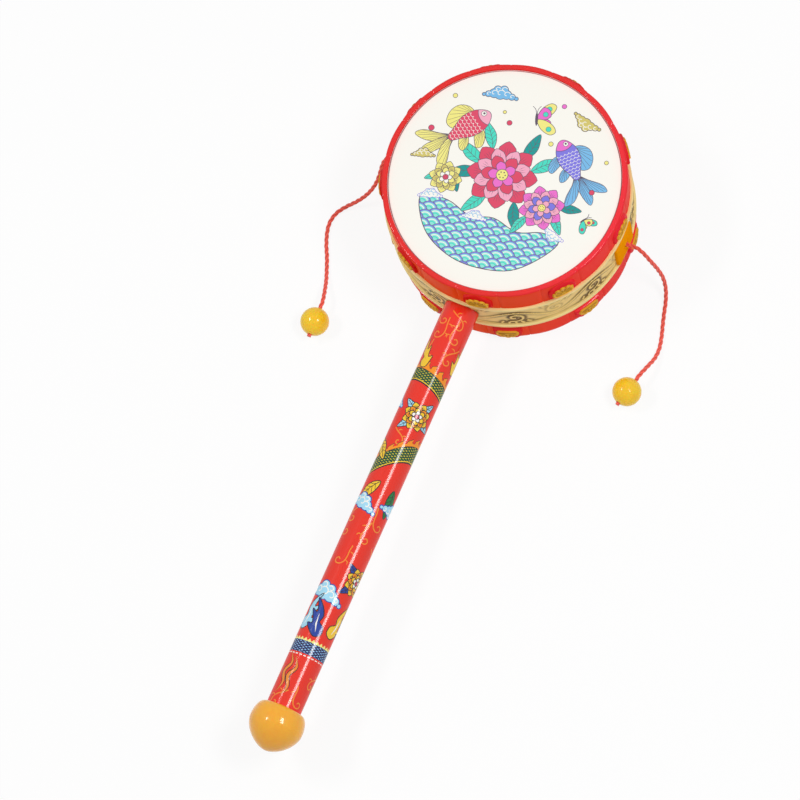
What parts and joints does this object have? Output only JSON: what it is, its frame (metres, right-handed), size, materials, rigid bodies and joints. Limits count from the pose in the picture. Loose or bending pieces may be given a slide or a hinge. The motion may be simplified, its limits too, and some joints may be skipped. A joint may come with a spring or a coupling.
{
  "type": "pellet drum rattle",
  "caption": "Two-headed toy hand drum on a tube handle, with a bead on a cord at each side that strikes the heads when twirled.",
  "frame": {"origin": "middle of the ring face of the rear hoop that the rattle rests on", "axes": "+Z along the drum's axis towards the front head; the handle points along -Y; the cord holes lie on X"},
  "size_m": [0.1258, 0.248, 0.043],
  "materials": {
    "shell_plastic": "moulded red plastic",
    "printed_head": "cream sheet with a printed picture",
    "hoop_plastic": "glossy moulded red plastic",
    "gold_relief": "gold-painted relief",
    "gold_band": "gold foil with a pattern in relief",
    "edge_line": "pale gold raised line",
    "amber_plastic": "slightly translucent amber plastic",
    "printed_tube": "glossy red tube with a printed pattern",
    "twisted_cord": "thin twisted red cord",
    "bead_plastic": "slightly translucent amber-yellow plastic"
  },
  "bodies": {
    "root": {"drum_shell": "shell_plastic", "front_head": "printed_head", "rear_head": "printed_head", "front_hoop": "hoop_plastic", "rear_hoop": "hoop_plastic", "front_ornaments": "gold_relief", "rear_ornaments": "gold_relief", "gold_band": "gold_band", "front_edge_line": "edge_line", "rear_edge_line": "edge_line", "right_cord_anchor": "amber_plastic", "left_cord_anchor": "amber_plastic", "handle_spigot": "shell_plastic", "handle_tube": "printed_tube", "end_knob": "amber_plastic"},
    "right_cord_root": {"right_cord_tail": "twisted_cord"},
    "right_cord_line": {"right_cord": "twisted_cord", "right_end_knot": "twisted_cord"},
    "right_bead_ball": {"right_bead": "bead_plastic"},
    "left_cord_root": {"left_cord_tail": "twisted_cord"},
    "left_cord_line": {"left_cord": "twisted_cord", "left_end_knot": "twisted_cord"},
    "left_bead_ball": {"left_bead": "bead_plastic"}
  },
  "joints": [
    {"name": "right_cord_twist", "type": "hinge", "parent": "root", "child": "right_cord_root", "pos_m": [0.0438, 0, 0.0215], "axis": [1, 0, 0], "continuous": true},
    {"name": "right_cord_swing", "type": "hinge", "parent": "right_cord_root", "child": "right_cord_line", "pos_m": [0.0438, 0, 0.0215], "axis": [0, -0.3539, 0.9353], "range_deg": [-30, 70]},
    {"name": "right_bead_spin", "type": "hinge", "parent": "right_cord_line", "child": "right_bead_ball", "pos_m": [0.0599, -0.0436, 0.005], "axis": [-0.2419, -0.9703, 0], "continuous": true},
    {"name": "left_cord_twist", "type": "hinge", "parent": "root", "child": "left_cord_root", "pos_m": [-0.0438, 0, 0.0215], "axis": [1, 0, 0], "continuous": true},
    {"name": "left_cord_swing", "type": "hinge", "parent": "left_cord_root", "child": "left_cord_line", "pos_m": [-0.0438, 0, 0.0215], "axis": [0, 0.2668, -0.9637], "range_deg": [-18, 80]},
    {"name": "left_bead_spin", "type": "hinge", "parent": "left_cord_line", "child": "left_bead_ball", "pos_m": [-0.0493, -0.0596, 0.005], "axis": [0.0523, -0.9986, 0], "continuous": true}
  ]
}
